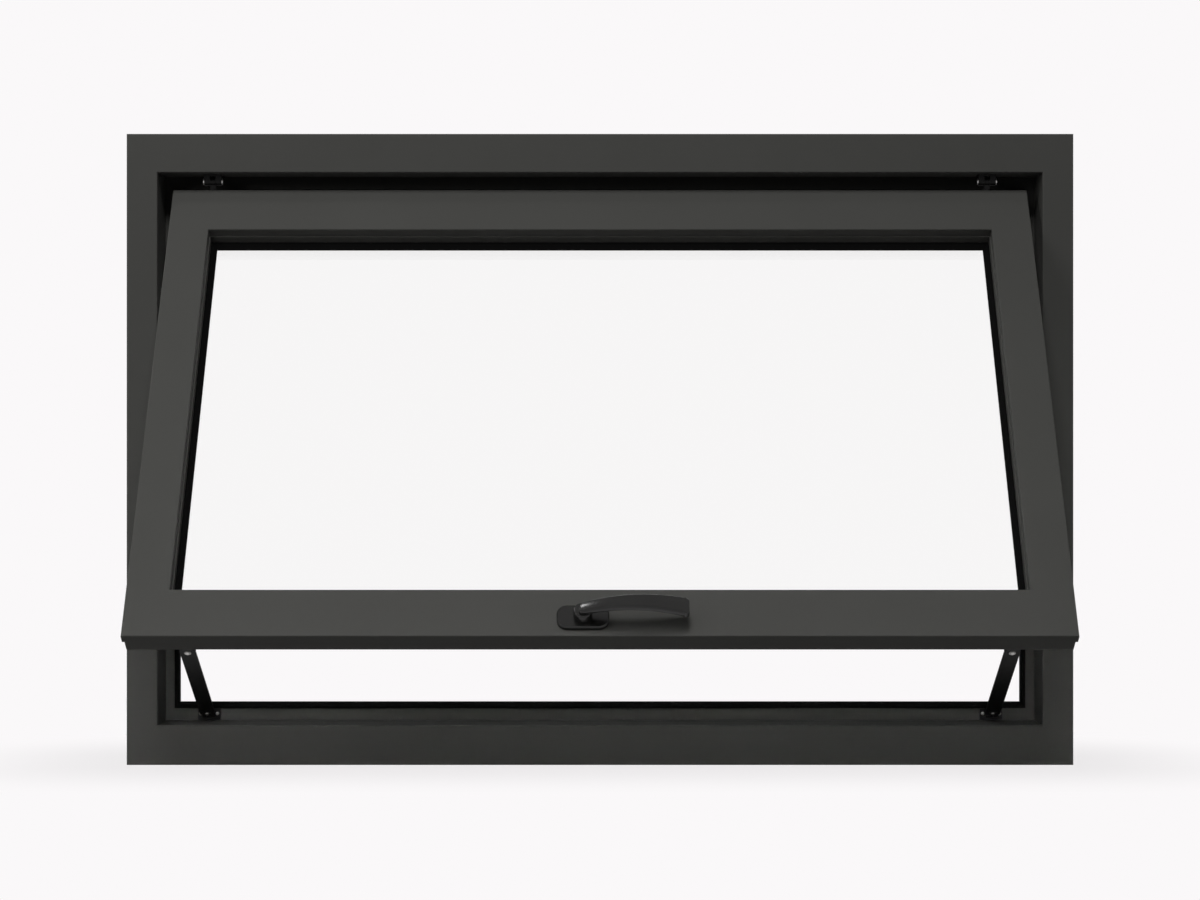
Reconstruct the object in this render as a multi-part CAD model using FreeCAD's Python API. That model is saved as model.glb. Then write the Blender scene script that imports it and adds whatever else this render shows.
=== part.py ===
"""Top hung awning window: a mitred aluminium frame with its sash held open by two folding stays.

Millimetres. X runs along the window, Y from the front (the side the sash opens to) to the back,
Z up. The origin is the middle of the frame's underside. Sections are drawn in (u, v): u inwards
from the outer edge of a ring of four members, v back from its front face.
"""
import FreeCAD
import Part
import math
import os
from FreeCAD import Vector

# Frame
frame_width = 1200.0
frame_height = 800.0
frame_depth = 85.0
jamb_face = 39.0
head_face = 49.0
sill_face = 50.5
rebate_depth = 67.0
stop_reach = 17.25
frame_wall = 2.0
arris = 1.5

# Weather seal on the stop
seal_groove_width = 3.0
seal_groove_depth = 4.5
seal_groove_inset = 2.0
seal_head_width = 6.5
seal_overhang = 1.5
seal_height = 5.0
seal_bevel = 1.8
seal_slack = 0.1

# Screw holes through the jambs into the wall
fixing_radius = 4.0
fixing_spacing = 400.0
fixing_setback = 33.0

# Sash
side_gap = 16.0
top_gap = 18.5
bottom_gap = 14.0
sash_setback = 32.5
opening_angle = 35.5
stile_face = 50.4
top_rail_face = 66.0
bottom_rail_face = 63.0
flange_depth = 14.0
flange_overhang = 2.0
rim_depth = 34.5
back_inset = 20.0
sash_depth = 46.0
reveal_step_depth = 13.0
reveal_step = 1.2
leg_depth = 26.0
glazing_bite = 8.0
sash_wall = 2.0

# Glass, its seals and the beads behind it
glass_thickness = 6.0
glass_edge_gap = 2.0
front_seal_lip = 9.3
front_seal_thickness = 1.4
front_seal_rise = 2.0
back_seal_thickness = 1.6
back_seal_lip = 1.0
bead_chamfer = 4.0

# Head hinges
hinge_inset = 106.0
hinge_length = 22.0
hinge_setback = 28.0
hinge_drop = 8.7
knuckle_radius = 5.4
hinge_pin_radius = 2.6
hinge_pin_head_radius = 4.2
hinge_pin_head_height = 1.4
hinge_leaf_thickness = 2.0
hinge_leaf_reach = 20.0
knuckle_gap = 0.3
pin_slack = 0.1

# Stays
stay_inset = 95.5
stay_sill_rise = 7.5
stay_sash_rise = 92.0
stay_foot_width = 29.0
stay_foot_below = 6.8
stay_foot_above = 7.9
stay_foot_thickness = 2.5
stay_axis_standoff = 6.5
stay_knuckle_radius = 3.4
stay_pin_radius = 1.6
stay_tab_width = 15.0
stay_link_width = 19.4
stay_link_thickness = 3.0
stay_tab_length = 14.0
stay_lower_share = 0.555
stay_rivet_radius = 3.0
stay_rivet_head_radius = 4.2
stay_rivet_head_height = 1.4

# Handle
handle_offset = -19.5
handle_rise = 23.2
handle_base_length = 60.0
handle_base_height = 30.5
handle_base_thickness = 6.0
handle_base_corner = 12.0
handle_base_edge = 1.5
handle_neck_radius = 11.0
handle_neck_top_radius = 10.4
handle_spigot_radius = 7.0
handle_spigot_depth = 4.0
handle_slack = 0.3
lever_length = 121.0
lever_heel = 4.5
lever_thickness = 9.0
lever_heel_width = 13.0
lever_tip_width = 22.0
lever_heel_standoff = 19.5
lever_bow = 14.0
lever_tip_rise = 3.0
lever_bevel = 2.0
lever_heel_corner = 5.0
lever_tip_corner = 7.0

# Places that follow from the sizes
front_y = -frame_depth / 2
sash_width = frame_width - 2 * (jamb_face + side_gap)
sash_top = frame_height - head_face - top_gap
sash_bottom = sill_face + bottom_gap
sash_front_y = front_y + sash_setback
hinge_axis = Vector(0, front_y + hinge_setback, frame_height - head_face - hinge_drop)
platform = stile_face - glazing_bite
glass_front = leg_depth + front_seal_thickness
glass_back = glass_front + glass_thickness
bead_front = glass_back + back_seal_thickness
AXIS_X = Vector(1, 0, 0)
AXIS_Y = Vector(0, 1, 0)
AXIS_Z = Vector(0, 0, 1)
SIDES = ("left", "top", "right", "bottom")
OVERRUN = 1.0
TOUCH = 1e-3


def outline(points):
    """Closed wire through (u, v) or (u, v, radius) corners; a radius rounds its corner."""
    corners = [Vector(p[0], p[1], 0) for p in points]
    radii = [p[2] if len(p) > 2 else 0.0 for p in points]
    runs = []
    for i, corner in enumerate(corners):
        if radii[i] == 0.0:
            runs.append((corner, None, corner))
            continue
        before = (corners[i - 1] - corner).normalize()
        after = (corners[(i + 1) % len(corners)] - corner).normalize()
        half = before.getAngle(after) / 2
        tangent = radii[i] / math.tan(half)
        middle = radii[i] / math.sin(half) - radii[i]
        bisector = (before + after).normalize()
        runs.append((corner + before * tangent, corner + bisector * middle, corner + after * tangent))
    edges = []
    for i, (start, middle, end) in enumerate(runs):
        if middle is not None:
            edges.append(Part.Arc(start, middle, end).toShape())
        following = runs[(i + 1) % len(runs)][0]
        if (following - end).Length > TOUCH:
            edges.append(Part.LineSegment(end, following).toShape())
    return Part.Wire(edges)


def section(points, *chambers):
    """Flat face with the given outline, less its chambers."""
    face = Part.Face(outline(points))
    for chamber in chambers:
        face = face.cut(Part.Face(outline(chamber)))
    return face.Faces[0]


def placed(shape, origin, u_axis, v_axis):
    """Copy of a shape drawn in (u, v, run), set at origin with u and v along the given axes."""
    run = u_axis.cross(v_axis)
    matrix = FreeCAD.Matrix(
        u_axis.x, v_axis.x, run.x, origin.x,
        u_axis.y, v_axis.y, run.y, origin.y,
        u_axis.z, v_axis.z, run.z, origin.z,
        0, 0, 0, 1,
    )
    copy = shape.copy()
    copy.Placement = FreeCAD.Placement(matrix).multiply(shape.Placement)
    return copy


def mitred(profile, length, start_slope, end_slope):
    """Profile run along its length and cut at both ends by planes that lean by the given slopes."""
    box = profile.BoundBox
    box.enlarge(OVERRUN)
    low, high, front = box.XMin, box.XMax, box.YMin
    ends = [
        Vector(low, front, low * start_slope),
        Vector(high, front, high * start_slope),
        Vector(high, front, length - high * end_slope),
        Vector(low, front, length - low * end_slope),
    ]
    between = Part.Face(Part.makePolygon(ends + ends[:1])).extrude(AXIS_Y * box.YLength)
    return profile.extrude(AXIS_Z * length).common(between).Solids[0]


def ring(profile_of, width, low, high, y, faces):
    """Four mitred members round a rectangle, by side. profile_of(ratio) draws a member's section."""
    height = high - low
    corners = {
        "left": (Vector(-width / 2, y, low), AXIS_X, height),
        "top": (Vector(-width / 2, y, high), -AXIS_Z, width),
        "right": (Vector(width / 2, y, high), -AXIS_X, height),
        "bottom": (Vector(width / 2, y, low), AXIS_Z, width),
    }
    members = {}
    for i, side in enumerate(SIDES):
        corner, inward, length = corners[side]
        own = faces[side]
        before = faces[SIDES[i - 1]] / own
        after = faces[SIDES[(i + 1) % 4]] / own
        bar = mitred(profile_of(own / faces["left"]), length, before, after)
        members[side] = placed(bar, corner, inward, AXIS_Y)
    return members


def fused(shapes):
    """One solid of shapes that meet face to face."""
    return shapes[0].fuse(shapes[1:]).removeSplitter().Solids[0]


def opened(shape):
    """Copy of a shape of the closed sash, swung out about the head hinges."""
    copy = shape.copy()
    copy.rotate(hinge_axis, AXIS_X, -opening_angle)
    return copy


def frame_section(ratio):
    """Hollow frame section: a box behind the front face, with the stop that the sash closes on."""
    wall = frame_wall
    face = jamb_face * ratio
    tip = (jamb_face + stop_reach) * ratio
    groove_end = tip - seal_groove_inset * ratio
    groove = groove_end - seal_groove_width * ratio
    floor = rebate_depth + seal_groove_depth
    back = frame_depth
    body = [
        (0, 0, arris), (face, 0, arris), (face, rebate_depth),
        (groove, rebate_depth), (groove, floor), (groove_end, floor), (groove_end, rebate_depth),
        (tip, rebate_depth, arris), (tip, back, arris), (0, back, arris),
    ]
    front_chamber = [
        (wall, wall), (face - wall, wall), (face - wall, rebate_depth), (wall, rebate_depth),
    ]
    back_chamber = [
        (wall, rebate_depth + wall), (groove - wall, rebate_depth + wall),
        (groove - wall, floor + wall), (tip - wall, floor + wall),
        (tip - wall, back - wall), (wall, back - wall),
    ]
    return section(body, front_chamber, back_chamber)


def frame_seal_section(ratio):
    """Weather seal: a foot pressed in the stop's groove under a bevelled head."""
    tip = (jamb_face + stop_reach) * ratio
    foot_end = tip - (seal_groove_inset + seal_slack) * ratio
    foot = tip - (seal_groove_inset + seal_groove_width - seal_slack) * ratio
    head_end = tip + seal_overhang * ratio
    head = head_end - seal_head_width * ratio
    crest = rebate_depth - seal_height
    bevel = seal_bevel * ratio
    return section([
        (head, crest + seal_bevel), (head + bevel, crest), (head_end - bevel, crest),
        (head_end, crest + seal_bevel), (head_end, rebate_depth), (foot_end, rebate_depth),
        (foot_end, rebate_depth + seal_groove_depth - seal_slack),
        (foot, rebate_depth + seal_groove_depth - seal_slack),
        (foot, rebate_depth), (head, rebate_depth),
    ])


def sash_section(ratio):
    """Hollow sash section: front flange, stepped rim, glazing leg and the platform for the bead."""
    wall = sash_wall
    rim = flange_overhang * ratio
    inset = back_inset * ratio
    seat = platform * ratio
    face = stile_face * ratio
    inner = face + reveal_step * ratio
    body = [
        (0, 0, arris), (face, 0, arris), (face, reveal_step_depth), (inner, reveal_step_depth),
        (inner, leg_depth), (seat, leg_depth), (seat, sash_depth, arris), (inset, sash_depth, arris),
        (inset, rim_depth), (rim, rim_depth, arris), (rim, flange_depth), (0, flange_depth, arris),
    ]
    front_chamber = [
        (rim + wall, wall), (face - wall, wall), (face - wall, leg_depth - wall),
        (inset, leg_depth - wall), (inset, rim_depth - wall), (rim + wall, rim_depth - wall),
    ]
    back_chamber = [
        (inset + wall, leg_depth), (seat - wall, leg_depth),
        (seat - wall, sash_depth - wall), (inset + wall, sash_depth - wall),
    ]
    return section(body, front_chamber, back_chamber)


def front_glazing_seal_section(ratio):
    """Seal before the glass, with the broad lip that shows inside the sash's opening."""
    start = (platform + glass_edge_gap) * ratio
    inner = (stile_face + reveal_step) * ratio
    crest = inner + front_seal_rise * ratio
    tip = (stile_face + front_seal_lip) * ratio
    return section([
        (start, leg_depth), (inner, leg_depth), (inner, leg_depth - front_seal_rise),
        (crest, leg_depth - front_seal_rise), (tip, leg_depth), (tip, glass_front),
        (start, glass_front),
    ])


def back_glazing_seal_section(ratio):
    """Flat seal between the glass and the bead."""
    start = (platform + glass_edge_gap) * ratio
    tip = (stile_face + back_seal_lip) * ratio
    return section([(start, glass_back), (tip, glass_back), (tip, bead_front), (start, bead_front)])


def bead_section(ratio):
    """Glazing bead with a sloping inner edge, seated on the platform behind the glass."""
    seat = platform * ratio
    face = stile_face * ratio
    return section([
        (seat, bead_front), (face, bead_front), (face, sash_depth - bead_chamfer, arris),
        (face - bead_chamfer * ratio, sash_depth, arris), (seat, sash_depth),
    ])


def glass_pane():
    """Sheet of float glass between the two seals, clear of the platform all round."""
    inset = platform + glass_edge_gap
    width = sash_width - 2 * inset
    low = sash_bottom + inset * bottom_rail_face / stile_face
    high = sash_top - inset * top_rail_face / stile_face
    corner = Vector(-width / 2, sash_front_y + glass_front, low)
    return Part.makeBox(width, glass_thickness, high - low, corner)


def round_bar(radius, start, length):
    """Round bar along +X."""
    return Part.makeCylinder(radius, length, start, AXIS_X)


def headed_pin(radius, head_radius, head_height, grip):
    """Pin along +Z from 0 to grip with a flat round head at each end."""
    pieces = [Part.makeCylinder(radius, grip)]
    for base in (-head_height, grip):
        pieces.append(Part.makeCylinder(head_radius, head_height, AXIS_Z * base))
    return fused(pieces)


def head_hinge(x):
    """Frame leaf, sash leaf and pin of a hinge whose middle is at x, with the sash closed."""
    start = x - hinge_length / 2
    third = hinge_length / 3
    bore = hinge_pin_radius + pin_slack
    y, z = hinge_axis.y, hinge_axis.z
    rebate = frame_height - head_face
    ears = [round_bar(knuckle_radius, Vector(start + i * third, y, z), third) for i in (0, 2)]
    neck_points = [
        (y, z), (y + knuckle_radius, z), (y + knuckle_radius, rebate), (y - knuckle_radius, rebate),
        (y - knuckle_radius, z),
    ]
    necks = [prism_x(neck_points, start + i * third, third) for i in (0, 2)]
    leaf = Part.makeBox(
        hinge_length, hinge_leaf_reach + knuckle_radius, hinge_leaf_thickness,
        Vector(start, y - knuckle_radius, rebate - hinge_leaf_thickness),
    )
    hole = round_bar(bore, Vector(start, y, z), hinge_length)
    frame_leaf = fused(ears + necks + [leaf]).cut(hole).Solids[0]
    middle = start + third + knuckle_gap
    span = third - 2 * knuckle_gap
    eye = round_bar(knuckle_radius, Vector(middle, y, z), span)
    shoulder = sash_top + hinge_leaf_thickness
    back = sash_front_y + flange_depth - arris
    strap_points = [
        (y, z), (y - knuckle_radius, z), (sash_front_y + arris, sash_top), (back, sash_top),
        (back, shoulder), (y + knuckle_radius, shoulder), (y + knuckle_radius, z),
    ]
    strap = prism_x(strap_points, middle, span)
    plate = Part.makeBox(
        hinge_length, back - sash_front_y - arris, hinge_leaf_thickness,
        Vector(start, sash_front_y + arris, sash_top),
    )
    sash_leaf = fused([eye, strap, plate]).cut(hole).Solids[0]
    pin = headed_pin(hinge_pin_radius, hinge_pin_head_radius, hinge_pin_head_height, hinge_length)
    pin = placed(pin, Vector(start, y, z), AXIS_Y, AXIS_Z)
    return frame_leaf, sash_leaf, pin


def prism_x(points, start, length):
    """Outline drawn in (y, z), run along +X from start."""
    return placed(section(points).extrude(AXIS_Z * length), Vector(start, 0, 0), AXIS_Y, AXIS_Z)


def stay_foot(seat, normal):
    """Stay foot on a face, with two knuckles over seat and their pin. normal points off the face."""
    third = stay_tab_width / 3
    half = stay_tab_width / 2
    side = stay_foot_width / 2
    plate = section([
        (-side, -stay_foot_below, arris), (side, -stay_foot_below, arris),
        (side, stay_foot_above, arris), (-side, stay_foot_above, arris),
    ]).extrude(AXIS_Z * stay_foot_thickness)
    axis = stay_axis_standoff
    pieces = [plate]
    for start in (-half, half - third):
        pieces.append(round_bar(stay_knuckle_radius, Vector(start, 0, axis), third))
        pieces.append(Part.makeBox(
            third, 2 * stay_knuckle_radius, axis - stay_foot_thickness,
            Vector(start, -stay_knuckle_radius, stay_foot_thickness),
        ))
    pieces.append(round_bar(stay_pin_radius, Vector(-half, 0, axis), stay_tab_width))
    across = AXIS_X
    return placed(fused(pieces), seat, across, normal.cross(across))


def stay_tab(pivot, along, layer):
    """Tab that tilts on a foot's pin and carries the rivet of a link.

    pivot is the pin's middle, along the way to the other foot, and layer the side, +1 or -1, of
    the arm's middle plane that the tab lies on.
    """
    third = stay_tab_width / 3
    thickness = stay_link_thickness
    span = third - 2 * knuckle_gap
    reach = stay_tab_length + stay_rivet_head_radius
    low = min(0, layer * thickness)
    start = stay_knuckle_radius + stay_pin_radius
    tongue = section([
        (-stay_tab_width / 2, start), (stay_tab_width / 2, start),
        (stay_tab_width / 2, reach, stay_rivet_head_radius),
        (-stay_tab_width / 2, reach, stay_rivet_head_radius),
    ]).extrude(AXIS_Z * thickness)
    tongue.translate(Vector(0, 0, low))
    neck = Part.makeBox(span, start, thickness, Vector(-span / 2, 0, low))
    eye = round_bar(stay_knuckle_radius, Vector(-span / 2, 0, 0), span)
    bore = round_bar(stay_pin_radius + pin_slack, Vector(-span / 2, 0, 0), span)
    body = fused([tongue, neck, eye]).cut(bore)
    grip = 2 * thickness
    rivet = headed_pin(stay_rivet_radius, stay_rivet_head_radius, stay_rivet_head_height, grip)
    rivet.translate(Vector(0, stay_tab_length, -thickness))
    return placed(fused([body, rivet]), pivot, AXIS_X, along)


def stay_link(start, along, length, layer):
    """Flat link between two rivets, with round ends, on one side of the arm's middle plane."""
    half = stay_link_width / 2
    hole = stay_rivet_radius + pin_slack
    bar = section([
        (-half, -half, half - arris), (half, -half, half - arris),
        (half, length + half, half - arris), (-half, length + half, half - arris),
    ]).extrude(AXIS_Z * stay_link_thickness)
    for y in (0, length):
        bar = bar.cut(Part.makeCylinder(hole, stay_link_thickness, Vector(0, y, 0)))
    bar.translate(Vector(0, 0, min(0, layer * stay_link_thickness)))
    return placed(bar.Solids[0], start, AXIS_X, along)


def stay(x):
    """The pieces of the folding stay in the plane at x, by name, with the sash open."""
    sill_seat = Vector(x, front_y + rebate_depth, sill_face + stay_sill_rise)
    sash_seat = Vector(x, sash_front_y + sash_depth, sash_bottom + stay_sash_rise)
    turn = FreeCAD.Rotation(AXIS_X, -opening_angle)
    sash_normal = turn.multVec(AXIS_Y)
    sash_seat = hinge_axis + turn.multVec(sash_seat - hinge_axis)
    low = sill_seat - AXIS_Y * stay_axis_standoff
    high = sash_seat + sash_normal * stay_axis_standoff
    along = (high - low).normalize()
    lower_rivet = low + along * stay_tab_length
    upper_rivet = high - along * stay_tab_length
    reach = (upper_rivet - lower_rivet).Length
    lower_reach = stay_lower_share * reach
    elbow = lower_rivet + along * lower_reach
    grip = 2 * stay_link_thickness
    rivet = headed_pin(stay_rivet_radius, stay_rivet_head_radius, stay_rivet_head_height, grip)
    rivet.translate(Vector(0, 0, -stay_link_thickness))
    return {
        "sill_foot": stay_foot(sill_seat, -AXIS_Y),
        "sill_tab": stay_tab(low, along, -1),
        "lower_link": stay_link(lower_rivet, along, lower_reach, 1),
        "elbow_rivet": placed(rivet, elbow, AXIS_X, along),
        "upper_link": stay_link(elbow, along, reach - lower_reach, -1),
        "sash_tab": stay_tab(high, -along, -1),
        "sash_foot": stay_foot(sash_seat, sash_normal),
    }


def handle_place(shape):
    """A handle piece drawn with its base in XY and its stand-off along +Z, set on the bottom rail."""
    seat = Vector(handle_offset, sash_front_y, sash_bottom + handle_rise)
    return opened(placed(shape, seat, AXIS_X, AXIS_Z))


def handle_base():
    """Rounded plate with a blind bore for the lever's spigot."""
    half_length = handle_base_length / 2
    half_height = handle_base_height / 2
    corner = handle_base_corner
    plate = section([
        (-half_length, -half_height, corner), (half_length, -half_height, corner),
        (half_length, half_height, corner), (-half_length, half_height, corner),
    ]).extrude(AXIS_Z * handle_base_thickness)
    rim = [e for e in plate.Edges if e.BoundBox.ZMin > handle_base_thickness - TOUCH]
    plate = plate.makeChamfer(handle_base_edge, rim)
    depth = handle_spigot_depth + handle_slack
    bore = Part.makeCylinder(
        handle_spigot_radius + handle_slack, depth, Vector(0, 0, handle_base_thickness - depth),
    )
    return handle_place(plate.cut(bore).Solids[0])


def lever_blade():
    """Arched blade of the lever: its side view run across, trimmed to its tapering plan and bevelled."""
    heel = lever_heel_standoff - lever_thickness / 2
    middle = (lever_length - lever_heel) / 2
    levels = ((-lever_heel, 0), (middle, lever_bow + lever_tip_rise / 2), (lever_length, lever_tip_rise))
    below = [Vector(x, 0, heel + rise) for x, rise in levels]
    above = [point + AXIS_Z * lever_thickness for point in below]
    side = Part.Wire([
        Part.Arc(*below).toShape(), Part.LineSegment(below[2], above[2]).toShape(),
        Part.Arc(*reversed(above)).toShape(), Part.LineSegment(above[0], below[0]).toShape(),
    ])
    across = Part.Face(side).extrude(AXIS_Y * lever_tip_width)
    across.translate(-AXIS_Y * lever_tip_width / 2)
    plan = section([
        (-lever_heel, -lever_heel_width / 2, lever_heel_corner),
        (lever_length, -lever_tip_width / 2, lever_tip_corner),
        (lever_length, lever_tip_width / 2, lever_tip_corner),
        (-lever_heel, lever_heel_width / 2, lever_heel_corner),
    ]).extrude(AXIS_Z * (above[1].z + lever_thickness))
    blade = across.common(plan).Solids[0]
    return blade.makeChamfer(lever_bevel, [e for e in blade.Edges if not upright(e)])


def upright(edge):
    """True if an edge runs straight up."""
    box = edge.BoundBox
    return box.XLength < TOUCH and box.YLength < TOUCH


def handle_lever():
    """Lever with its neck and the spigot that turns in the base."""
    foot = handle_base_thickness + handle_slack
    neck = Part.makeCone(handle_neck_radius, handle_neck_top_radius, lever_heel_standoff - foot,
                         Vector(0, 0, foot))
    rim = [e for e in neck.Edges if e.BoundBox.ZMin > lever_heel_standoff - TOUCH]
    neck = neck.makeChamfer(lever_bevel, rim)
    spigot = Part.makeCylinder(handle_spigot_radius, handle_spigot_depth + handle_slack,
                               Vector(0, 0, handle_base_thickness - handle_spigot_depth))
    return handle_place(fused([lever_blade(), neck, spigot]))


def frame_members():
    """Head, sill and jambs, with the jambs bored for the wall screws."""
    faces = {"left": jamb_face, "top": head_face, "right": jamb_face, "bottom": sill_face}
    members = ring(frame_section, frame_width, 0, frame_height, front_y, faces)
    for side in ("left", "right"):
        for sign in (-1, 1):
            z = frame_height / 2 + sign * fixing_spacing / 2
            start = Vector(-frame_width, front_y + fixing_setback, z)
            bore = round_bar(fixing_radius, start, 2 * frame_width)
            members[side] = members[side].cut(bore).Solids[0]
    seal = ring(frame_seal_section, frame_width, 0, frame_height, front_y, faces)
    return {
        "frame_left_jamb": members["left"],
        "frame_head": members["top"],
        "frame_right_jamb": members["right"],
        "frame_sill": members["bottom"],
        "frame_seal": fused([seal[side] for side in SIDES]),
    }


def sash_members():
    """Rails and stiles with the glass, its seals and its beads, swung open."""
    faces = {
        "left": stile_face, "top": top_rail_face, "right": stile_face, "bottom": bottom_rail_face,
    }
    names = {"left": "left_stile", "top": "top_rail", "right": "right_stile", "bottom": "bottom_rail"}

    def around(profile_of):
        return ring(profile_of, sash_width, sash_bottom, sash_top, sash_front_y, faces)

    bars = around(sash_section)
    beads = around(bead_section)
    front_seal = around(front_glazing_seal_section)
    back_seal = around(back_glazing_seal_section)
    pieces = {f"sash_{names[side]}": bars[side] for side in SIDES}
    pieces.update({f"glazing_bead_{side}": beads[side] for side in SIDES})
    pieces["glazing_seal_front"] = fused([front_seal[side] for side in SIDES])
    pieces["glazing_seal_back"] = fused([back_seal[side] for side in SIDES])
    pieces["glass_pane"] = glass_pane()
    return {name: opened(shape) for name, shape in pieces.items()}


def hardware():
    """Hinges, stays and handle."""
    pieces = {}
    for side, sign in (("left", -1), ("right", 1)):
        frame_leaf, sash_leaf, pin = head_hinge(sign * (frame_width / 2 - hinge_inset))
        pieces[f"hinge_{side}_frame_leaf"] = frame_leaf
        pieces[f"hinge_{side}_sash_leaf"] = opened(sash_leaf)
        pieces[f"hinge_{side}_pin"] = pin
        for name, shape in stay(sign * (frame_width / 2 - stay_inset)).items():
            pieces[f"stay_{side}_{name}"] = shape
    pieces["handle_base"] = handle_base()
    pieces["handle_lever"] = handle_lever()
    return pieces


os.makedirs("parts", exist_ok=True)
for node, solid in {**frame_members(), **sash_members(), **hardware()}.items():
    solid.exportStep(f"parts/{node}.step")
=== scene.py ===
"""Looks of a top hung awning window: dark coated frame and sash, clear glass and black fittings."""

import logging
import math
from dataclasses import dataclass, field
from enum import Enum
from typing import Any, Iterable

import bmesh
import bpy
from mathutils import Matrix, Vector


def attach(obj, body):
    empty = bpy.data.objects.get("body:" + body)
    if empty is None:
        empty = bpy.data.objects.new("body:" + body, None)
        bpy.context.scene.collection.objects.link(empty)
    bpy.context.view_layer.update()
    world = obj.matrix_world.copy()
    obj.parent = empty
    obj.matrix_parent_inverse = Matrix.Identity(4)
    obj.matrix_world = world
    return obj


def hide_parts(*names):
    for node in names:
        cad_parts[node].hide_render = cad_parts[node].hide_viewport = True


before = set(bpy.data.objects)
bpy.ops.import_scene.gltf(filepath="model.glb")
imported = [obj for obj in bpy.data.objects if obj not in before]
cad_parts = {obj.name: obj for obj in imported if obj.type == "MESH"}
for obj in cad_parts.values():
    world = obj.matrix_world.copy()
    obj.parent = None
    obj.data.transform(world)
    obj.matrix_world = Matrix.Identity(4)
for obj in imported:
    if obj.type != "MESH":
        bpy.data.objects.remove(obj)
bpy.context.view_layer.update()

log = logging.getLogger("awning_window")

MM = 0.001
PICTURE_WIDTH = 1200.0
SENSOR_WIDTH = 36.0
SMOOTH_ANGLE = math.radians(32.0)
TOUCH = 1e-6


class Body(Enum):
    """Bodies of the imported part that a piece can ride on."""

    WINDOW = "window"
    HANDLE = "handle"


class Slot(Enum):
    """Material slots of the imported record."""

    COAT = "frame_coat"
    BLACK_STEEL = "black_steel"
    BRIGHT_STEEL = "bright_steel"
    HANDLE = "handle_coat"


class Side(Enum):
    """Left and right ends of the window, as the sign of X."""

    LEFT = -1
    RIGHT = 1

    @property
    def word(self) -> str:
        """Lower-case name that the nodes use."""
        return self.name.lower()


def linear(code: str) -> tuple[float, float, float, float]:
    """Turn an sRGB hex value into a linear colour.

    Args:
        code: Six hex digits after a hash.

    Returns:
        Red, green, blue and an alpha of 1.
    """
    def channel(start: int) -> float:
        """Linear value of the two digits from start."""
        value = int(code[start:start + 2], 16) / 255.0
        return value / 12.92 if value <= 0.04045 else ((value + 0.055) / 1.055) ** 2.4

    return channel(1), channel(3), channel(5), 1.0


def per_metre(size_mm: float) -> float:
    """Texture scale whose features are about size_mm across on Object coordinates."""
    return 1.0 / (size_mm * MM)


def add(tree: Any, kind: str, values: dict | None = None, links: dict | None = None) -> Any:
    """Add a node with its settings and links.

    Args:
        tree: Node tree that takes the node.
        kind: Blender's name of the node type.
        values: Socket names or numbers, or attributes, with what they are set to.
        links: Socket names or numbers with the outputs that feed them.

    Returns:
        The new node.
    """
    node = tree.nodes.new(kind)
    for key, value in (values or {}).items():
        if isinstance(key, str) and hasattr(node, key):
            setattr(node, key, value)
        else:
            node.inputs[key].default_value = value
    for key, output in (links or {}).items():
        tree.links.new(output, node.inputs[key])
    return node


@dataclass(frozen=True)
class Finish:
    """A named finish that makes its own material."""

    name: str

    def material(self) -> bpy.types.Material:
        """Make the finish's material.

        Returns:
            The material, with its nodes linked.
        """
        material = bpy.data.materials.new(self.name)
        material.use_nodes = True
        tree = material.node_tree
        tree.nodes.clear()
        surface = self.shade(tree)
        add(tree, "ShaderNodeOutputMaterial", links={"Surface": surface})
        return material

    def shade(self, tree: Any) -> Any:
        """Add the finish's nodes.

        Args:
            tree: Node tree that takes the nodes.

        Returns:
            The shader's output.
        """
        raise NotImplementedError


@dataclass(frozen=True)
class PowderCoat(Finish):
    """Polyester powder coat, sprayed and baked on aluminium extrusions.

    The eye gets a nearly matt dark grey with faint clouding and a faint orange peel.
    """

    tone: str
    cloud_tone: str
    roughness: tuple[float, float]
    specular: float
    cloud_mm: float = 140.0
    # Real orange peel is about 1 mm across, under a pixel here, so it is drawn coarser to show.
    peel_mm: float = 3.2
    peel_height_mm: float = 0.035
    peel_strength: float = 0.35

    def shade(self, tree: Any) -> Any:
        """Add the coat's clouding and peel.

        Args:
            tree: Node tree that takes the nodes.

        Returns:
            The shader's output.
        """
        place = add(tree, "ShaderNodeTexCoord").outputs["Object"]
        cloud = add(
            tree, "ShaderNodeTexNoise",
            {"Scale": per_metre(self.cloud_mm), "Detail": 3.0}, {"Vector": place},
        ).outputs["Fac"]
        peel = add(
            tree, "ShaderNodeTexNoise",
            {"Scale": per_metre(self.peel_mm), "Detail": 2.0, "Roughness": 0.4}, {"Vector": place},
        ).outputs["Fac"]
        colour = add(
            tree, "ShaderNodeMix",
            {"data_type": "RGBA", 6: linear(self.tone), 7: linear(self.cloud_tone)}, {0: cloud},
        ).outputs[2]
        low, high = self.roughness
        roughness = add(
            tree, "ShaderNodeMapRange", {"To Min": low, "To Max": high}, {"Value": peel},
        ).outputs["Result"]
        bump = add(
            tree, "ShaderNodeBump",
            {"Strength": self.peel_strength, "Distance": self.peel_height_mm * MM}, {"Height": peel},
        ).outputs["Normal"]
        return add(
            tree, "ShaderNodeBsdfPrincipled", {"Specular IOR Level": self.specular},
            {"Base Color": colour, "Roughness": roughness, "Normal": bump},
        ).outputs["BSDF"]


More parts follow.
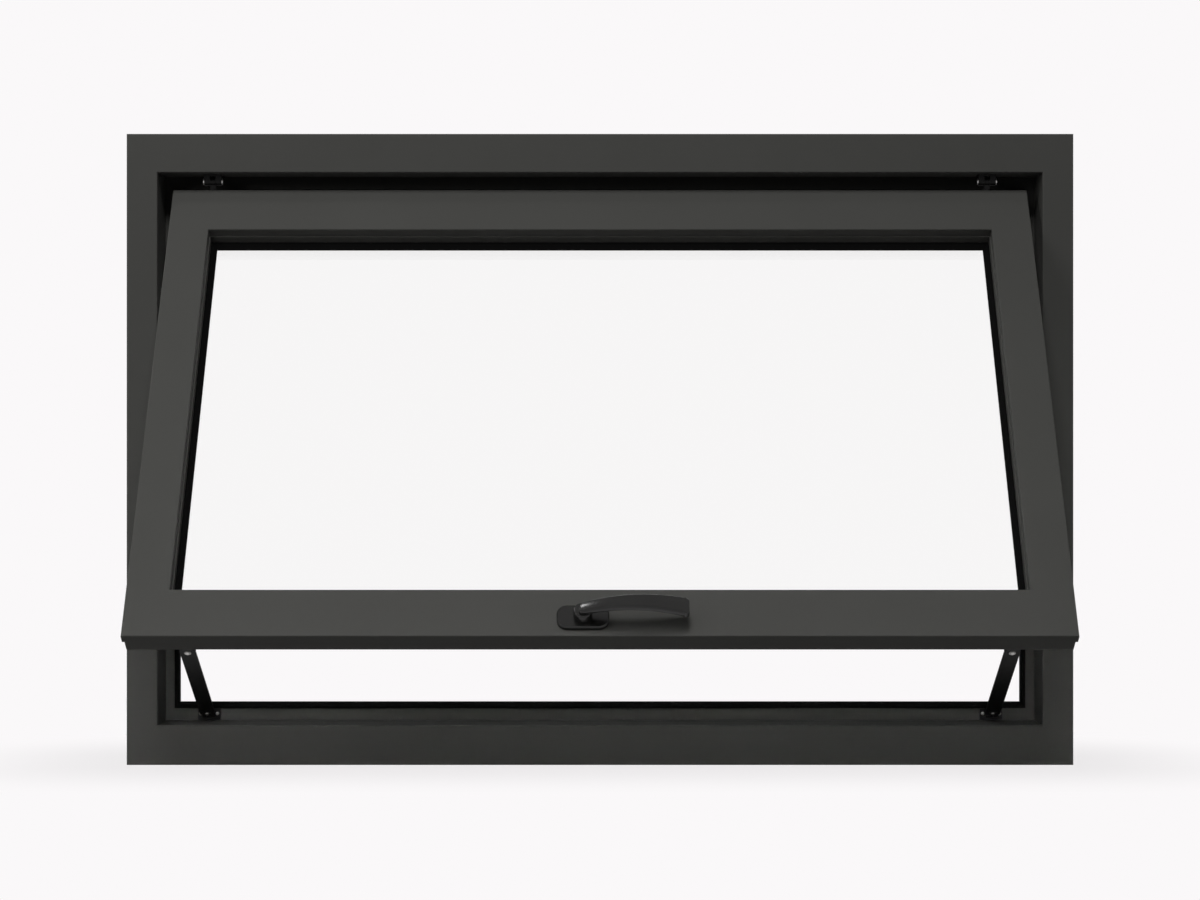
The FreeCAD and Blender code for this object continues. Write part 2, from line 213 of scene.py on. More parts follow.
@dataclass(frozen=True)
class Moulded(Finish):
    """Extruded rubber or moulded plastic: a soft matt skin with a bloom of paler patches."""

    tone: str
    bloom_tone: str
    roughness: tuple[float, float]
    specular: float
    bloom_mm: float = 26.0
    # The skin's grain is a few tenths of a millimetre; it is drawn coarser so that it shows.
    grain_mm: float = 1.8
    grain_height_mm: float = 0.05
    grain_strength: float = 0.3

    def shade(self, tree: Any) -> Any:
        """Add the bloom and the grain.

        Args:
            tree: Node tree that takes the nodes.

        Returns:
            The shader's output.
        """
        place = add(tree, "ShaderNodeTexCoord").outputs["Object"]
        bloom = add(
            tree, "ShaderNodeTexNoise",
            {"Scale": per_metre(self.bloom_mm), "Detail": 4.0}, {"Vector": place},
        ).outputs["Fac"]
        grain = add(
            tree, "ShaderNodeTexNoise", {"Scale": per_metre(self.grain_mm), "Detail": 1.0},
            {"Vector": place},
        ).outputs["Fac"]
        colour = add(
            tree, "ShaderNodeMix",
            {"data_type": "RGBA", 6: linear(self.tone), 7: linear(self.bloom_tone)}, {0: bloom},
        ).outputs[2]
        low, high = self.roughness
        roughness = add(
            tree, "ShaderNodeMapRange", {"To Min": low, "To Max": high}, {"Value": bloom},
        ).outputs["Result"]
        bump = add(
            tree, "ShaderNodeBump",
            {"Strength": self.grain_strength, "Distance": self.grain_height_mm * MM},
            {"Height": grain},
        ).outputs["Normal"]
        return add(
            tree, "ShaderNodeBsdfPrincipled", {"Specular IOR Level": self.specular},
            {"Base Color": colour, "Roughness": roughness, "Normal": bump},
        ).outputs["BSDF"]


@dataclass(frozen=True)
class FloatGlass(Finish):
    """Clear soda-lime float glass: see-through, with a trace of green and a mirror-smooth face."""

    tint: str
    # Darker than the glass, so that the recesses behind it stay as dim as in the photograph.
    lamp_tint: str
    ior: float = 1.52

    def shade(self, tree: Any) -> Any:
        """Add the glass, which lets a share of the lamps' light through.

        Args:
            tree: Node tree that takes the nodes.

        Returns:
            The shader's output.
        """
        glass = add(
            tree, "ShaderNodeBsdfPrincipled",
            {"Base Color": linear(self.tint), "Roughness": 0.0, "IOR": self.ior,
             "Transmission Weight": 1.0},
        ).outputs["BSDF"]
        clear = add(
            tree, "ShaderNodeBsdfTransparent", {"Color": linear(self.lamp_tint)},
        ).outputs["BSDF"]
        lamp = add(tree, "ShaderNodeLightPath").outputs["Is Shadow Ray"]
        return add(
            tree, "ShaderNodeMixShader", links={0: lamp, 1: glass, 2: clear},
        ).outputs["Shader"]


@dataclass(frozen=True)
class CoatedMetal(Finish):
    """Pressed or cast metal under a thin black coat: a soft gloss, with paler edges that are partly rub marks
    and partly a painted highlight.
    """

    tone: str
    rub_and_highlight_tone: str
    roughness: tuple[float, float]
    specular: float
    mottle_mm: float = 9.0
    mottle_height_mm: float = 0.04
    mottle_strength: float = 0.2
    edge_mm: float = 0.9
    edge_samples: int = 6
    # Cosines between the flat and the rounded normal where the paler edge, rub mark and painted highlight,
    # starts and is full.
    edge_range: tuple[float, float] = (0.98, 0.75)

    def shade(self, tree: Any) -> Any:
        """Add the mottled gloss and the paler edges, rubbed and painted as a highlight.

        Args:
            tree: Node tree that takes the nodes.

        Returns:
            The shader's output.
        """
        place = add(tree, "ShaderNodeTexCoord").outputs["Object"]
        mottle = add(
            tree, "ShaderNodeTexNoise",
            {"Scale": per_metre(self.mottle_mm), "Detail": 4.0, "Roughness": 0.6}, {"Vector": place},
        ).outputs["Fac"]
        # Paler colour along the rounded edges: partly rub marks, partly a painted highlight on the arrises.
        rounded = add(
            tree, "ShaderNodeBevel", {"samples": self.edge_samples, "Radius": self.edge_mm * MM},
        ).outputs["Normal"]
        flat = add(tree, "ShaderNodeNewGeometry").outputs["True Normal"]
        agree = add(
            tree, "ShaderNodeVectorMath", {"operation": "DOT_PRODUCT"},
            {0: rounded, 1: flat},
        ).outputs["Value"]
        start, full = self.edge_range
        edge = add(
            tree, "ShaderNodeMapRange",
            {"From Min": start, "From Max": full, "To Min": 0.0, "To Max": 1.0}, {"Value": agree},
        ).outputs["Result"]
        rub_and_highlight = add(
            tree, "ShaderNodeMath", {"operation": "MULTIPLY"}, {0: edge, 1: mottle},
        ).outputs["Value"]
        colour = add(
            tree, "ShaderNodeMix",
            {"data_type": "RGBA", 6: linear(self.tone), 7: linear(self.rub_and_highlight_tone)}, {0: rub_and_highlight},
        ).outputs[2]
        low, high = self.roughness
        roughness = add(
            tree, "ShaderNodeMapRange", {"To Min": low, "To Max": high}, {"Value": mottle},
        ).outputs["Result"]
        bump = add(
            tree, "ShaderNodeBump",
            {"Strength": self.mottle_strength, "Distance": self.mottle_height_mm * MM},
            {"Height": mottle},
        ).outputs["Normal"]
        return add(
            tree, "ShaderNodeBsdfPrincipled", {"Specular IOR Level": self.specular},
            {"Base Color": colour, "Roughness": roughness, "Normal": bump},
        ).outputs["BSDF"]


@dataclass(frozen=True)
class BrightSteel(Finish):
    """Stainless steel, cold headed and tumbled: a grey metal shine, softly scuffed."""

    tone: str
    roughness: tuple[float, float]
    scuff_mm: float = 1.5

    def shade(self, tree: Any) -> Any:
        """Add the scuffed metal.

        Args:
            tree: Node tree that takes the nodes.

        Returns:
            The shader's output.
        """
        place = add(tree, "ShaderNodeTexCoord").outputs["Object"]
        scuff = add(
            tree, "ShaderNodeTexNoise",
            {"Scale": per_metre(self.scuff_mm), "Detail": 3.0}, {"Vector": place},
        ).outputs["Fac"]
        low, high = self.roughness
        roughness = add(
            tree, "ShaderNodeMapRange", {"To Min": low, "To Max": high}, {"Value": scuff},
        ).outputs["Result"]
        return add(
            tree, "ShaderNodeBsdfPrincipled",
            {"Base Color": linear(self.tone), "Metallic": 1.0}, {"Roughness": roughness},
        ).outputs["BSDF"]


@dataclass
class Palette:
    """The materials of the window, one for each finish."""

    coat: bpy.types.Material = field(init=False)
    rubber: bpy.types.Material = field(init=False)
    glass: bpy.types.Material = field(init=False)
    black_steel: bpy.types.Material = field(init=False)
    cast_black: bpy.types.Material = field(init=False)
    bright_steel: bpy.types.Material = field(init=False)
    cap_plastic: bpy.types.Material = field(init=False)

    def __post_init__(self) -> None:
        """Make every material."""
        self.coat = PowderCoat(
            "powder_coated_aluminium", "#40403e", "#444442", (0.56, 0.66), 0.05,
        ).material()
        self.rubber = Moulded("epdm_rubber", "#060606", "#0a0a0a", (0.65, 0.85), 0.08).material()
        self.glass = FloatGlass("float_glass", "#fefffe", "#a4a7a5").material()
        self.black_steel = CoatedMetal(
            "black_coated_steel", "#0f0f0f", "#2c2c2b", (0.3, 0.48), 0.2,
        ).material()
        self.cast_black = CoatedMetal(
            "satin_black_cast_zinc", "#161615", "#3a3a38", (0.16, 0.24), 0.5,
        ).material()
        self.bright_steel = BrightSteel("stainless_steel", "#d8d7d4", (0.28, 0.42)).material()
        self.cap_plastic = Moulded(
            "moulded_polythene", "#3c3b3a", "#413f3e", (0.4, 0.55), 0.3,
        ).material()


def paint(material: bpy.types.Material, nodes: Iterable[str]) -> None:
    """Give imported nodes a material.

    Args:
        material: The material they get.
        nodes: Names of the nodes.
    """
    for name in nodes:
        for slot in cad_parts[name].material_slots:
            slot.material = material
        log.info("%s wears %s", name, material.name)


def piece(mesh_data: bmesh.types.BMesh, name: str, material: bpy.types.Material, body: Body) -> bpy.types.Object:
    """Make an object of a finished bmesh and hang it on a body.

    Args:
        mesh_data: The shape, in the window's frame. It is freed.
        name: Name of the piece.
        material: Its material.
        body: The body that it rides on.

    Returns:
        The new object.
    """
    bmesh.ops.recalc_face_normals(mesh_data, faces=mesh_data.faces)
    mesh = bpy.data.meshes.new(name)
    mesh_data.to_mesh(mesh)
    mesh_data.free()
    mesh.materials.append(material)
    mesh.shade_smooth()
    mesh.set_sharp_from_angle(angle=SMOOTH_ANGLE)
    thing = bpy.data.objects.new(name, mesh)
    bpy.context.scene.collection.objects.link(thing)
    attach(thing, body.value)
    log.info("%s rides on %s", name, body.value)
    return thing


def seated(point: Vector, across: Vector, out: Vector) -> Matrix:
    """Place of a fitting drawn on XY with +Z off its seat.

    Args:
        point: Middle of the seat.
        across: Way of the fitting's X.
        out: Way off the seat, at right angles to across.

    Returns:
        Matrix from the fitting's own axes to the window's.
    """
    turn = Matrix((across, out.cross(across), out)).transposed().to_4x4()
    return Matrix.Translation(point) @ turn


def bevelled(mesh_data: bmesh.types.BMesh, edges: list, offset: float, segments: int) -> None:
    """Round edges of a bmesh.

    Args:
        mesh_data: The shape.
        edges: Edges to round.
        offset: Width of the rounding, in metres.
        segments: Facets across it.
    """
    bmesh.ops.bevel(
        mesh_data, geom=edges, offset=offset, offset_type="OFFSET", segments=segments,
        profile=0.5, affect="EDGES", material=-1,
    )


@dataclass
class Screw:
    """Pan head screw with a six-lobe recess."""

    radius: float = 2.4 * MM
    height: float = 1.6 * MM
    facets: int = 24
    taper: float = 0.86
    rim_share: float = 0.5
    rim_segments: int = 4
    lobes: int = 6
    recess_radius: float = 1.1 * MM
    recess_depth: float = 0.8 * MM
    waist: float = 0.68

    def build(self, mesh_data: bmesh.types.BMesh, place: Matrix) -> None:
        """Add the head to a bmesh.

        Args:
            mesh_data: The shape that takes it.
            place: Where it sits, with +Z out of the head.
        """
        head = bmesh.new()
        bmesh.ops.create_cone(
            head, cap_ends=True, cap_tris=False, segments=self.facets, radius1=self.radius,
            radius2=self.radius * self.taper, depth=self.height,
            matrix=Matrix.Translation((0, 0, self.height / 2)),
        )
        rim = [e for e in head.edges if all(v.co.z > self.height / 2 for v in e.verts)]
        bevelled(head, rim, self.height * self.rim_share, self.rim_segments)
        crown = max(head.faces, key=lambda face: face.calc_center_median().z)
        reach = (crown.verts[0].co - crown.calc_center_median()).length
        bmesh.ops.inset_region(head, faces=[crown], thickness=reach - self.recess_radius)
        middle = crown.calc_center_median()
        step = self.facets // self.lobes
        for i, vert in enumerate(crown.verts):
            if 0 < i % step < step - 1:
                vert.co = middle + (vert.co - middle) * self.waist
        sunk = bmesh.ops.extrude_face_region(head, geom=[crown])["geom"]
        verts = [g for g in sunk if isinstance(g, bmesh.types.BMVert)]
        bmesh.ops.translate(head, verts=verts, vec=(0, 0, -self.recess_depth))
        bmesh.ops.delete(head, geom=[crown], context="FACES_ONLY")
        merge(head, mesh_data, place)


@dataclass
class Dome:
    """Low round cap, such as a rivet's head or a hole's cover."""

    radius: float
    height: float
    facets: int = 28
    rings: int = 10

    def build(self, mesh_data: bmesh.types.BMesh, place: Matrix) -> None:
        """Add the cap to a bmesh.

        Args:
            mesh_data: The shape that takes it.
            place: Where it sits, with +Z out of the cap.
        """
        cap = bmesh.new()
        bmesh.ops.create_uvsphere(
            cap, u_segments=self.facets, v_segments=self.rings, radius=self.radius,
        )
        cut = bmesh.ops.bisect_plane(
            cap, geom=cap.verts[:] + cap.edges[:] + cap.faces[:], plane_no=(0, 0, 1),
            clear_inner=True, dist=TOUCH,
        )["geom_cut"]
        rim = [g for g in cut if isinstance(g, bmesh.types.BMEdge)]
        bmesh.ops.edgeloop_fill(cap, edges=rim)
        bmesh.ops.scale(cap, vec=(1, 1, self.height / self.radius), verts=cap.verts)
        merge(cap, mesh_data, place)


def merge(part: bmesh.types.BMesh, whole: bmesh.types.BMesh, place: Matrix) -> None:
    """Add one bmesh to another at its place, and free it.

    Args:
        part: The shape to add.
        whole: The shape that takes it.
        place: Matrix from the part's axes to the whole's.
    """
    bmesh.ops.transform(part, matrix=place, verts=part.verts)
    carrier = bpy.data.meshes.new("carrier")
    part.to_mesh(carrier)
    part.free()
    whole.from_mesh(carrier)
    bpy.data.meshes.remove(carrier)


@dataclass
class Swing:
    """The sash's swing about the head hinges."""

    axis: Vector = field(default_factory=lambda: Vector((0.0, -14.5 * MM, 742.3 * MM)))
    angle: float = math.radians(35.5)

    def matrix(self) -> Matrix:
        """Matrix from the closed sash to the open one."""
        turn = Matrix.Rotation(-self.angle, 4, "X")
        return Matrix.Translation(self.axis) @ turn @ Matrix.Translation(-self.axis)


@dataclass
class OuterFrame:
    """Head, sill and jambs with their weather seal and the covers of the wall screws."""

    palette: Palette
    jamb_inner: float = 561.0 * MM
    fixing_y: float = -9.5 * MM
    fixing_heights: tuple[float, float] = (200.0 * MM, 600.0 * MM)
    cover: Dome = field(default_factory=lambda: Dome(6.5 * MM, 1.6 * MM))

    def dress(self) -> None:
        """Give the frame's nodes their finishes."""
        members = ("frame_head", "frame_sill", "frame_left_jamb", "frame_right_jamb")
        paint(self.palette.coat, members)
        paint(self.palette.rubber, ("frame_seal",))

    def build(self) -> None:
        """Cover the wall screws inside each jamb."""
        for side in Side:
            covers = bmesh.new()
            for height in self.fixing_heights:
                seat = Vector((side.value * self.jamb_inner, self.fixing_y, height))
                self.cover.build(covers, seated(seat, Vector((0, 1, 0)), Vector((-side.value, 0, 0))))
            name = f"jamb_{side.word}_screw_covers"
            piece(covers, name, self.palette.cap_plastic, Body.WINDOW)


@dataclass
class Sash:
    """Rails and stiles with their beads, seals and glass."""

    palette: Palette

    def dress(self) -> None:
        """Give the sash's nodes their finishes."""
        bars = ("sash_top_rail", "sash_bottom_rail", "sash_left_stile", "sash_right_stile")
        beads = tuple(f"glazing_bead_{side}" for side in ("left", "top", "right", "bottom"))
        paint(self.palette.coat, bars + beads)
        paint(self.palette.rubber, ("glazing_seal_front", "glazing_seal_back"))
        paint(self.palette.glass, ("glass_pane",))


@dataclass
class HeadHinges:
    """The two hinges under the head, with their screws."""

    palette: Palette
    spread: float = 988.0 * MM
    leaf_y: float = 0.5 * MM
    leaf_z: float = 749.0 * MM
    screw_offset: float = 7.0 * MM
    screw: Screw = field(default_factory=Screw)

    def dress(self) -> None:
        """Give the hinges' nodes their finishes."""
        for side in Side:
            leaves = (f"hinge_{side.word}_frame_leaf", f"hinge_{side.word}_sash_leaf")
            paint(self.palette.black_steel, leaves)
            paint(self.palette.bright_steel, (f"hinge_{side.word}_pin",))

    def build(self) -> None:
        """Screw each frame leaf to the head."""
        for side in Side:
            screws = bmesh.new()
            for sign in (-1, 1):
                x = side.value * self.spread / 2 + sign * self.screw_offset
                seat = Vector((x, self.leaf_y, self.leaf_z))
                self.screw.build(screws, seated(seat, Vector((1, 0, 0)), Vector((0, 0, -1))))
            name = f"hinge_{side.word}_screws"
            piece(screws, name, self.palette.black_steel, Body.WINDOW)


@dataclass
class Stays:
    """The two folding stays, with the screws of their feet and the heads of their rivets."""

    palette: Palette
    swing: Swing
    spread: float = 1009.0 * MM
    sill_seat: tuple[float, float] = (24.5 * MM, 58.0 * MM)
    sash_seat: tuple[float, float] = (36.0 * MM, 156.5 * MM)
    standoff: float = 6.5 * MM
    plate: float = 2.5 * MM
    screw_offset: float = 10.6 * MM
    screw_rise: float = 1.2 * MM
    tab_length: float = 14.0 * MM
    lower_share: float = 0.555
    half_grip: float = 4.4 * MM
    screw: Screw = field(default_factory=Screw)
    rivet: Dome = field(default_factory=lambda: Dome(2.6 * MM, 1.8 * MM))

    def dress(self) -> None:
        """Give the stays' nodes their finishes."""
        parts = ("sill_foot", "sill_tab", "lower_link", "upper_link", "sash_tab", "sash_foot")
        for side in Side:
            paint(self.palette.black_steel, (f"stay_{side.word}_{part}" for part in parts))
            paint(self.palette.bright_steel, (f"stay_{side.word}_elbow_rivet",))

    def build(self) -> None:
        """Screw the feet down and head the rivets of both stays."""
        for side in Side:
            self.build_side(side)

    def build_side(self, side: Side) -> None:
        """Add one stay's screws and rivet heads.

        Args:
            side: The end of the window that the stay is on.
        """
        across = Vector((1, 0, 0))
        x = side.value * self.spread / 2
        turn = self.swing.matrix()
        sill = Vector((x, *self.sill_seat))
        sash = turn @ Vector((x, *self.sash_seat))
        sill_out = Vector((0, -1, 0))
        sash_out = turn.to_3x3() @ Vector((0, 1, 0))
        screws = bmesh.new()
        for seat, out in ((sill, sill_out), (sash, sash_out)):
            up = out.cross(across)
            for sign in (-1, 1):
                spot = seat + across * sign * self.screw_offset + up * self.screw_rise
                self.screw.build(screws, seated(spot + out * self.plate, across, out))
        piece(screws, f"stay_{side.word}_screws", self.palette.bright_steel, Body.WINDOW)
        low = sill + sill_out * self.standoff
        high = sash + sash_out * self.standoff
        along = (high - low).normalized()
        first = low + along * self.tab_length
        last = high - along * self.tab_length
        elbow = first + (last - first) * self.lower_share
        face = across.cross(along)
        heads = bmesh.new()
        for spot in (first, elbow, last):
            for out in (face, -face):
                self.rivet.build(heads, seated(spot + out * self.half_grip, across, out))
        piece(heads, f"stay_{side.word}_rivet_heads", self.palette.bright_steel, Body.WINDOW)


@dataclass
class LeverHandle:
    """Cast lever handle on the bottom rail."""

    palette: Palette
    swing: Swing
    seat: Vector = field(default_factory=lambda: Vector((-19.5 * MM, -10.0 * MM, 87.7 * MM)))
    heel: float = -4.5 * MM
    tip: float = 121.0 * MM
    widths: tuple[float, float] = (13.0 * MM, 22.0 * MM)
    thickness: float = 9.0 * MM
    heel_standoff: float = 19.5 * MM
    bow: float = 14.0 * MM
    tip_rise: float = 3.0 * MM
    crown: float = 0.8 * MM
    tip_corner: float = 6.5 * MM
    tip_segments: int = 6
    edge: float = 2.2 * MM
    edge_segments: int = 5
    cuts_along: int = 29
    cuts_across: int = 5
    neck_foot: float = 6.3 * MM
    neck_radii: tuple[float, float] = (11.0 * MM, 10.4 * MM)
    neck_edge: float = 2.0 * MM
    spigot_radius: float = 7.0 * MM
    spigot_foot: float = 2.0 * MM
    facets: int = 48

    def dress(self) -> None:
        """Give the base its finish."""
        paint(self.palette.cast_black, ("handle_base",))

    def place(self) -> Matrix:
        """Matrix from the handle's own axes, +Z off the rail, to the open sash."""
        return self.swing.matrix() @ seated(self.seat, Vector((1, 0, 0)), Vector((0, -1, 0)))

    def build(self) -> None:
        """Cast the lever in one piece with its neck."""
        casting = bmesh.new()
        merge(self.blade(), casting, Matrix.Identity(4))
        merge(self.neck(), casting, Matrix.Identity(4))
        bmesh.ops.transform(casting, matrix=self.place(), verts=casting.verts)
        lever = piece(casting, "lever_casting", self.palette.cast_black, Body.HANDLE)
        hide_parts("handle_lever")

    def blade(self) -> bmesh.types.BMesh:
        """Shape the arched blade.

        Returns:
            The blade in the handle's own axes.
        """
        length = self.tip - self.heel
        shape = bmesh.new()
        bmesh.ops.create_cube(shape, size=1.0)
        long_edges = [e for e in shape.edges if abs(e.verts[0].co.x - e.verts[1].co.x) > 0.5]
        bmesh.ops.subdivide_edges(shape, edges=long_edges, cuts=self.cuts_along, use_grid_fill=True)
        wide_edges = [e for e in shape.edges if abs(e.verts[0].co.y - e.verts[1].co.y) > 0.5]
        bmesh.ops.subdivide_edges(shape, edges=wide_edges, cuts=self.cuts_across, use_grid_fill=True)
        for vert in shape.verts:
            along = vert.co.x + 0.5
            width = self.widths[0] + along * (self.widths[1] - self.widths[0])
            rise = 4 * self.bow * along * (1 - along) + self.tip_rise * along
            swell = self.crown * (1 - (2 * vert.co.y) ** 2) * (vert.co.z > 0)
            vert.co = (
                self.heel + along * length,
                vert.co.y * width,
                self.heel_standoff + rise + vert.co.z * self.thickness + swell,
            )
        tip_edges = [
            e for e in self.sharp(shape)
            if abs(e.verts[0].co.z - e.verts[1].co.z) > self.thickness / 2
            and min(v.co.x for v in e.verts) > self.tip - TOUCH
        ]
        bevelled(shape, tip_edges, self.tip_corner, self.tip_segments)
        bevelled(shape, self.sharp(shape), self.edge, self.edge_segments)
        return shape

    @staticmethod
    def sharp(shape: bmesh.types.BMesh) -> list:
        """Edges between two faces that turn by more than the smoothing angle."""
        paired = (e for e in shape.edges if len(e.link_faces) == 2)
        return [e for e in paired if e.calc_face_angle() > SMOOTH_ANGLE]

    def neck(self) -> bmesh.types.BMesh:
        """Shape the flared neck and the spigot under it.

        Returns:
            The neck in the handle's own axes.
        """
        height = self.heel_standoff - self.neck_foot
        shape = bmesh.new()
        bmesh.ops.create_cone(
            shape, cap_ends=True, cap_tris=False, segments=self.facets,
            radius1=self.neck_radii[0], radius2=self.neck_radii[1], depth=height,
            matrix=Matrix.Translation((0, 0, self.neck_foot + height / 2)),
        )
        brim = self.heel_standoff - TOUCH
        top = [e for e in shape.edges if all(v.co.z > brim for v in e.verts)]
        bevelled(shape, top, self.neck_edge, self.edge_segments)
        spigot = self.neck_foot - self.spigot_foot
        bmesh.ops.create_cone(
            shape, cap_ends=True, cap_tris=False, segments=self.facets,
            radius1=self.spigot_radius, radius2=self.spigot_radius, depth=spigot,
            matrix=Matrix.Translation((0, 0, self.spigot_foot + spigot / 2)),
        )
        return shape


@dataclass(frozen=True)
class Softbox:
    """Soft lamp of the studio, in metres, watts and degrees.

    Only a mirrored lamp shows in glossy faces and in glass. A narrow spread stands for a grid on
    the lamp, which keeps its light off all but a band of the window.
    """

    name: str
    spot: tuple[float, float, float]
    target: tuple[float, float, float]
    size: tuple[float, float]
    watts: float
    mirrored: bool = False
    spread_deg: float = 180.0

    def hang(self) -> None:
        """Hang the lamp at its spot, turned to its target."""
        data = bpy.data.lights.new(self.name, "AREA")
        data.shape = "RECTANGLE"
        data.size, data.size_y = self.size
        data.energy = self.watts
        data.spread = math.radians(self.spread_deg)
        thing = bpy.data.objects.new(self.name, data)
        thing.location = self.spot
        thing.visible_camera = False
        thing.visible_glossy = self.mirrored
        thing.visible_transmission = self.mirrored
        way = Vector(self.target) - Vector(self.spot)
        thing.rotation_euler = way.to_track_quat("-Z", "Y").to_euler()
        bpy.context.scene.collection.objects.link(thing)


SOFTBOXES = (
    Softbox("key_softbox", (-0.1, -2.4, 2.9), (0.0, -0.2, 0.4), (0.8, 0.8), 76.0),
    Softbox("left_softbox", (-1.7, -2.0, 1.4), (-0.3, 0.0, 0.4), (1.0, 1.0), 17.5),
    Softbox("edge_softbox", (-1.9, -0.7, 2.5), (0.0, -0.4, 0.2), (0.42, 0.42), 10.0, mirrored=True),
    Softbox("sill_softbox", (0.0, -3.2, 0.05), (0.0, 0.0, 0.05), (2.4, 0.1), 0.6, spread_deg=8.0),
    Softbox("sash_softbox", (0.0, -3.0, 2.2), (0.0, -0.38, 0.2), (1.6, 0.2), 0.6, spread_deg=20.0),
    Softbox("back_softbox", (0.0, 3.4, 0.4), (0.0, 0.0, 0.4), (0.8, 0.6), 50.0),
    Softbox("left_strip", (-2.8, 0.0, 0.6), (0.0, 0.0, 0.4), (0.08, 1.2), 25.0),
    Softbox("right_strip", (2.8, 0.0, 0.6), (0.0, 0.0, 0.4), (0.08, 1.2), 25.0),
)


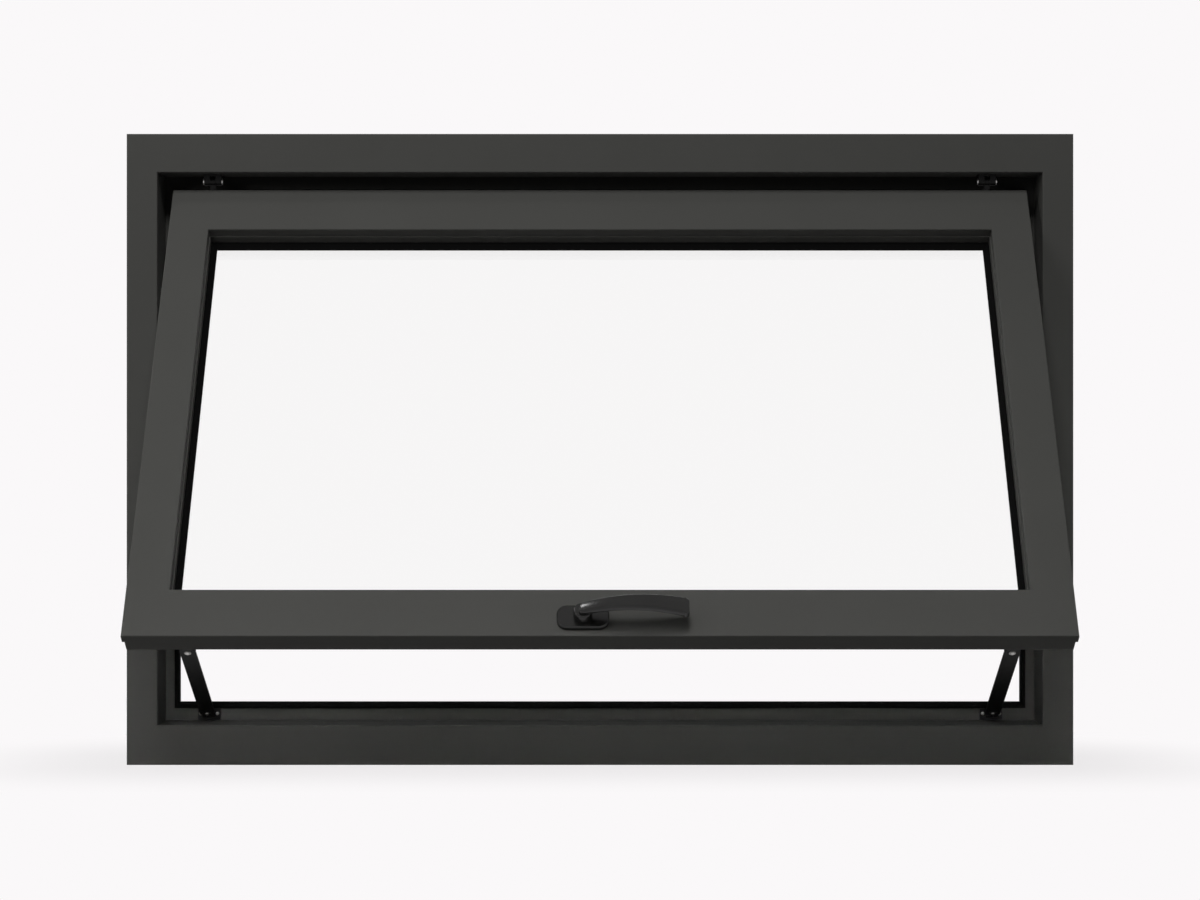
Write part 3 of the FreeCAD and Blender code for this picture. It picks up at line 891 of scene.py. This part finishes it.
@dataclass
class Studio:
    """Camera, pale floor and soft light."""

    eye: tuple[float, float, float] = (0.0, -3.5415, 0.3993)
    focal_px: float = 2761.0
    backdrop: str = "#faf8f9"
    fill: float = 0.06
    # Shares of the backdrop that glossy rays meet in front of the window and behind it, where a
    # dark flag keeps the grazed faces of the recesses from shining.
    mirrored: float = 0.45
    flagged: float = 0.08
    flag_edge: float = 0.3
    floor_size: float = 12.0
    floor_drop: float = 0.3 * MM
    floor_bounce: str = "#848383"
    footprint: tuple[float, float, float] = (0.6, 0.0425, 0.0)
    # Near the window's footprint a share of a darker lit floor is mixed in by distance: a painted shadow, which
    # also shows the lamps' real shadow.
    painted_shadow_share: float = 0.15
    painted_shadow_reach: float = 0.3

    def build(self) -> None:
        """Set the camera, world, floor and lamps."""
        bpy.context.scene.view_settings.view_transform = "Standard"
        self.camera()
        self.world()
        self.floor()
        for softbox in SOFTBOXES:
            softbox.hang()

    def camera(self) -> None:
        """Stand the camera square to the window."""
        data = bpy.data.cameras.new("camera")
        data.sensor_fit = "HORIZONTAL"
        data.sensor_width = SENSOR_WIDTH
        data.lens = self.focal_px / PICTURE_WIDTH * SENSOR_WIDTH
        thing = bpy.data.objects.new("camera", data)
        thing.location = self.eye
        thing.rotation_euler = (math.radians(90.0), 0.0, 0.0)
        bpy.context.scene.collection.objects.link(thing)
        bpy.context.scene.camera = thing

    def seen(self, tree: Any, place: Any) -> Any:
        """Add the share of the backdrop that each kind of ray meets.

        Args:
            tree: Node tree that takes the nodes.
            place: Output with the spot of the backdrop that a ray meets, +Y behind the window.

        Returns:
            The share's output.
        """
        path = add(tree, "ShaderNodeLightPath").outputs
        behind = add(tree, "ShaderNodeSeparateXYZ", links={"Vector": place}).outputs["Y"]
        share = add(
            tree, "ShaderNodeMapRange",
            {"From Min": 0.0, "From Max": self.flag_edge, "To Min": self.mirrored,
             "To Max": self.flagged}, {"Value": behind},
        ).outputs["Result"]
        dimmed = add(
            tree, "ShaderNodeMath", {"operation": "MULTIPLY"},
            {0: path["Is Glossy Ray"], 1: share},
        ).outputs["Value"]
        first = add(
            tree, "ShaderNodeMath", {"operation": "MAXIMUM"},
            {0: path["Is Camera Ray"], 1: dimmed},
        ).outputs["Value"]
        return add(
            tree, "ShaderNodeMath", {"operation": "MAXIMUM"},
            {0: first, 1: path["Is Transmission Ray"]},
        ).outputs["Value"]

    def world(self) -> None:
        """Make the surroundings pale to the eye and a plain even fill for the light."""
        world = bpy.data.worlds.new("studio")
        world.use_nodes = True
        bpy.context.scene.world = world
        tree = world.node_tree
        tree.nodes.clear()
        light = add(
            tree, "ShaderNodeBackground", {"Color": (1.0, 1.0, 1.0, 1.0), "Strength": self.fill},
        ).outputs["Background"]
        view = add(
            tree, "ShaderNodeBackground", {"Color": linear(self.backdrop), "Strength": 1.0},
        ).outputs["Background"]
        place = add(tree, "ShaderNodeTexCoord").outputs["Generated"]
        mixed = add(
            tree, "ShaderNodeMixShader", links={0: self.seen(tree, place), 1: light, 2: view},
        ).outputs["Shader"]
        add(tree, "ShaderNodeOutputWorld", links={"Surface": mixed})

    def floor(self) -> None:
        """Lay a pale floor that fades into the backdrop, with a painted shadow near the window that also carries
        the lamps' soft shadow.
        """
        shape = bmesh.new()
        bmesh.ops.create_grid(shape, x_segments=1, y_segments=1, size=self.floor_size / 2)
        bmesh.ops.translate(shape, verts=shape.verts, vec=(0, 0, -self.floor_drop))
        mesh = bpy.data.meshes.new("floor")
        shape.to_mesh(mesh)
        shape.free()
        material = bpy.data.materials.new("pale_studio_floor")
        material.use_nodes = True
        tree = material.node_tree
        tree.nodes.clear()
        place = add(tree, "ShaderNodeTexCoord").outputs["Object"]
        seen = self.seen(tree, place)
        folded = add(
            tree, "ShaderNodeVectorMath", {"operation": "ABSOLUTE"}, {0: place},
        ).outputs["Vector"]
        past = add(
            tree, "ShaderNodeVectorMath", {"operation": "SUBTRACT", 1: self.footprint}, {0: folded},
        ).outputs["Vector"]
        clear = add(
            tree, "ShaderNodeVectorMath", {"operation": "MAXIMUM", 1: (0.0, 0.0, 0.0)}, {0: past},
        ).outputs["Vector"]
        reach = add(
            tree, "ShaderNodeVectorMath", {"operation": "LENGTH"}, {0: clear},
        ).outputs["Value"]
        # Painted shadow: the darker lit floor shows more the nearer the spot is to the footprint.
        share = add(
            tree, "ShaderNodeMapRange",
            {"interpolation_type": "SMOOTHSTEP", "From Min": 0.0, "From Max": self.painted_shadow_reach,
             "To Min": self.painted_shadow_share, "To Max": 0.0}, {"Value": reach},
        ).outputs["Result"]
        lit = add(
            tree, "ShaderNodeBsdfDiffuse", {"Color": linear(self.floor_bounce)},
        ).outputs["BSDF"]
        glow = add(
            tree, "ShaderNodeEmission", {"Color": linear(self.backdrop), "Strength": 1.0},
        ).outputs["Emission"]
        shown = add(
            tree, "ShaderNodeMixShader", links={0: share, 1: glow, 2: lit},
        ).outputs["Shader"]
        mixed = add(
            tree, "ShaderNodeMixShader", links={0: seen, 1: lit, 2: shown},
        ).outputs["Shader"]
        add(tree, "ShaderNodeOutputMaterial", links={"Surface": mixed})
        mesh.materials.append(material)
        thing = bpy.data.objects.new("floor", mesh)
        bpy.context.scene.collection.objects.link(thing)


def main() -> None:
    """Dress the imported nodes, build the small fittings and set up the studio."""
    logging.basicConfig(level=logging.INFO, format="%(message)s")
    palette = Palette()
    swing = Swing()
    assemblies = (
        OuterFrame(palette), HeadHinges(palette), Stays(palette, swing), LeverHandle(palette, swing),
    )
    Sash(palette).dress()
    for assembly in assemblies:
        assembly.dress()
        assembly.build()
    Studio().build()


if __name__ == "__main__":
    main()
